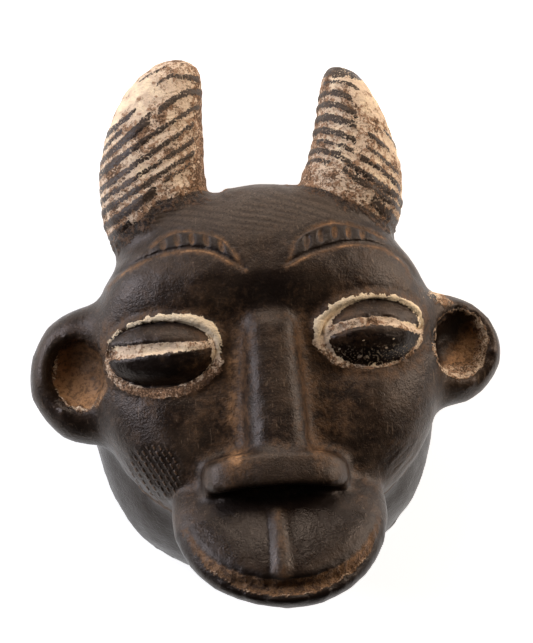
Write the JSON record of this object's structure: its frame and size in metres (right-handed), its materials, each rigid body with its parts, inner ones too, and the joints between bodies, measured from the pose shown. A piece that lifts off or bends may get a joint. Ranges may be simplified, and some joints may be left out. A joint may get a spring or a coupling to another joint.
{
  "type": "miniature mask",
  "caption": "Hollow horned face mask of small size, with slit bean eyes, cupped ears, a bar across the nose and a jutting muzzle, carved in one piece of wood.",
  "frame": {"origin": "the middle of the footprint, on the plane of the flat back rim", "axes": "+Z out of the face, +Y towards the tips of the horns, +X to the right of a viewer who faces the mask"},
  "size_m": [0.1386, 0.1582, 0.0742],
  "materials": {
    "wood": "satin blackish-brown patina, with pale pigment on the horns and round the eyes and ochre dust in the recesses"
  },
  "bodies": {
    "root": {"mask": "wood"}
  },
  "joints": []
}
